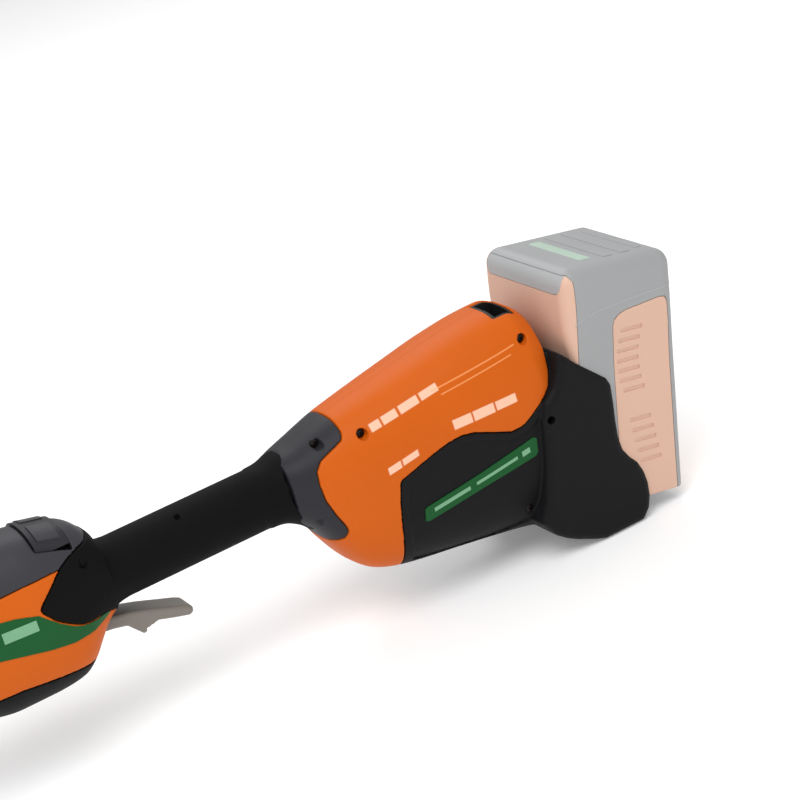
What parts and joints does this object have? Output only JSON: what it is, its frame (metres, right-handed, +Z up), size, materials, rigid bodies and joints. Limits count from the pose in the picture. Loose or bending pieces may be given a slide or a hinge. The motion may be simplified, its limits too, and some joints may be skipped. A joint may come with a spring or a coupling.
{
  "type": "string trimmer",
  "caption": "Cordless string trimmer with a rear grip, slide-in battery pack, telescopic shaft, loop handle and tilting line head with guard.",
  "frame": {"origin": "centre of the bounding box, on the plane the tool lies on", "axes": "+X along the shaft towards the battery end, +Z up, -Y the side of the tool shown in the picture"},
  "size_m": [1.3446, 0.2812, 0.2684],
  "materials": {
    "orange_plastic": "fine moulded texture",
    "dark_plastic": "fine moulded texture",
    "grey_plastic": "satin moulded",
    "soft_grip": "matt overmould",
    "warm_grey": "satin",
    "green_print": "satin film",
    "steel": "bright",
    "alu": "satin anodised",
    "copper": "bright",
    "board": "lacquered",
    "cable": "matt",
    "pale_shell": "satin",
    "pale_grey": "satin",
    "cell_wrap": "shrink film",
    "nylon": "nylon line",
    "accent_red": "satin"
  },
  "bodies": {
    "main_body": {"handle_core_left": "grey_plastic", "handle_core_right": "grey_plastic", "grip_sleeve": "soft_grip", "rear_shell_left": "orange_plastic", "rear_shell_right": "orange_plastic", "dock_left": "dark_plastic", "dock_right": "dark_plastic", "side_badges": "green_print", "socket_insert": "dark_plastic", "terminal_block": "dark_plastic", "contact_blades": "copper", "controller_board": "board", "front_shell_left": "orange_plastic", "front_shell_right": "orange_plastic", "front_top_cover": "grey_plastic", "front_lower_cover": "dark_plastic", "front_badges": "green_print", "trigger_pin": "steel", "trigger_spring": "steel", "trigger_switch": "dark_plastic", "lock_spring": "steel", "housing_screws": "steel", "shaft_lead": "cable", "upper_tube": "alu", "handle_clamp_upper": "dark_plastic", "handle_clamp_lower": "dark_plastic", "clamp_screws": "steel", "clamp_bolt": "steel", "shaft_coupler": "dark_plastic", "lock_collet": "pale_grey"},
    "trigger": {"trigger": "warm_grey"},
    "lock_button": {"lock_button": "grey_plastic"},
    "loop_handle": {"loop_handle": "dark_plastic", "loop_grip": "soft_grip"},
    "clamp_knob": {"clamp_knob": "grey_plastic"},
    "lock_collar": {"lock_collar": "grey_plastic"},
    "lower_shaft": {"lower_tube": "alu", "head_yoke": "dark_plastic", "tilt_pin": "steel", "tilt_spring": "steel"},
    "tilt_button": {"tilt_button": "accent_red"},
    "head": {"head_housing_left": "orange_plastic", "head_housing_right": "orange_plastic", "head_cap": "dark_plastic", "motor_can": "steel", "guard": "dark_plastic", "guard_screws": "steel", "line_cutter": "steel"},
    "rotor": {"motor_armature": "copper", "spool_cup": "dark_plastic", "line_eyelets": "steel", "spool_spring": "steel"},
    "feed_spool": {"spool": "accent_red", "line_winding": "nylon"},
    "plant_guard": {"plant_guard": "steel"},
    "battery": {"pack_front_cover": "pale_shell", "pack_rear_case": "pale_grey", "pack_latch_spring": "steel", "pack_cells": "cell_wrap"},
    "battery_latch": {"pack_latch": "pale_grey"}
  },
  "joints": [
    {"name": "trigger_squeeze", "type": "hinge", "parent": "main_body", "child": "trigger", "pos_m": [0.31771, 0, 0.073], "axis": [0, -1, 0], "range_deg": [0, 9], "stiffness_Nm_per_rad": 0.8, "springref_deg": -3.44, "deforming": ["trigger_spring"]},
    {"name": "lock_button_press", "type": "slide", "parent": "main_body", "child": "lock_button", "axis": [0, 0, -1], "range_m": [0, 0.003], "stiffness_N_per_m": 700, "springref_m": -0.001, "deforming": ["lock_spring"]},
    {"name": "handle_tilt", "type": "hinge", "parent": "main_body", "child": "loop_handle", "pos_m": [0.10971, 0, 0.119], "axis": [0, 1, 0], "range_deg": [-60, 45]},
    {"name": "clamp_knob_turn", "type": "hinge", "parent": "main_body", "child": "clamp_knob", "pos_m": [0.10971, -0.037, 0.119], "axis": [0, 1, 0], "continuous": true},
    {"name": "collar_twist", "type": "hinge", "parent": "main_body", "child": "lock_collar", "pos_m": [-0.15229, 0, 0.092], "axis": [1, 0, 0], "range_deg": [0, 60]},
    {"name": "shaft_extend", "type": "slide", "parent": "main_body", "child": "lower_shaft", "axis": [-1, 0, 0], "range_m": [0, 0.2]},
    {"name": "tilt_button_press", "type": "slide", "parent": "lower_shaft", "child": "tilt_button", "axis": [0, 1, 0], "range_m": [0, 0.003], "stiffness_N_per_m": 700, "springref_m": -0.001, "deforming": ["tilt_spring"]},
    {"name": "head_tilt", "type": "hinge", "parent": "lower_shaft", "child": "head", "pos_m": [-0.46529, 0, 0.092], "axis": [0, 1, 0], "range_deg": [0, 60]},
    {"name": "spool_spin", "type": "hinge", "parent": "head", "child": "rotor", "pos_m": [-0.52029, 0, 0.032], "axis": [0, 0, 1], "continuous": true},
    {"name": "bump_feed", "type": "slide", "parent": "rotor", "child": "feed_spool", "axis": [0, 0, 1], "range_m": [0, 0.004], "stiffness_N_per_m": 700, "springref_m": -0.003, "deforming": ["spool_spring"]},
    {"name": "plant_guard_flip", "type": "hinge", "parent": "head", "child": "plant_guard", "pos_m": [-0.52029, 0, 0.0625], "axis": [0, 1, 0], "range_deg": [0, 90]},
    {"name": "battery_slide", "type": "slide", "parent": "main_body", "child": "battery", "axis": [0.1761, 0, 0.9844], "range_m": [0, 0.14]},
    {"name": "battery_latch_press", "type": "slide", "parent": "battery", "child": "battery_latch", "axis": [0.9844, 0, -0.1761], "range_m": [0, 0.003], "stiffness_N_per_m": 700, "springref_m": -0.001, "deforming": ["pack_latch_spring"]}
  ]
}
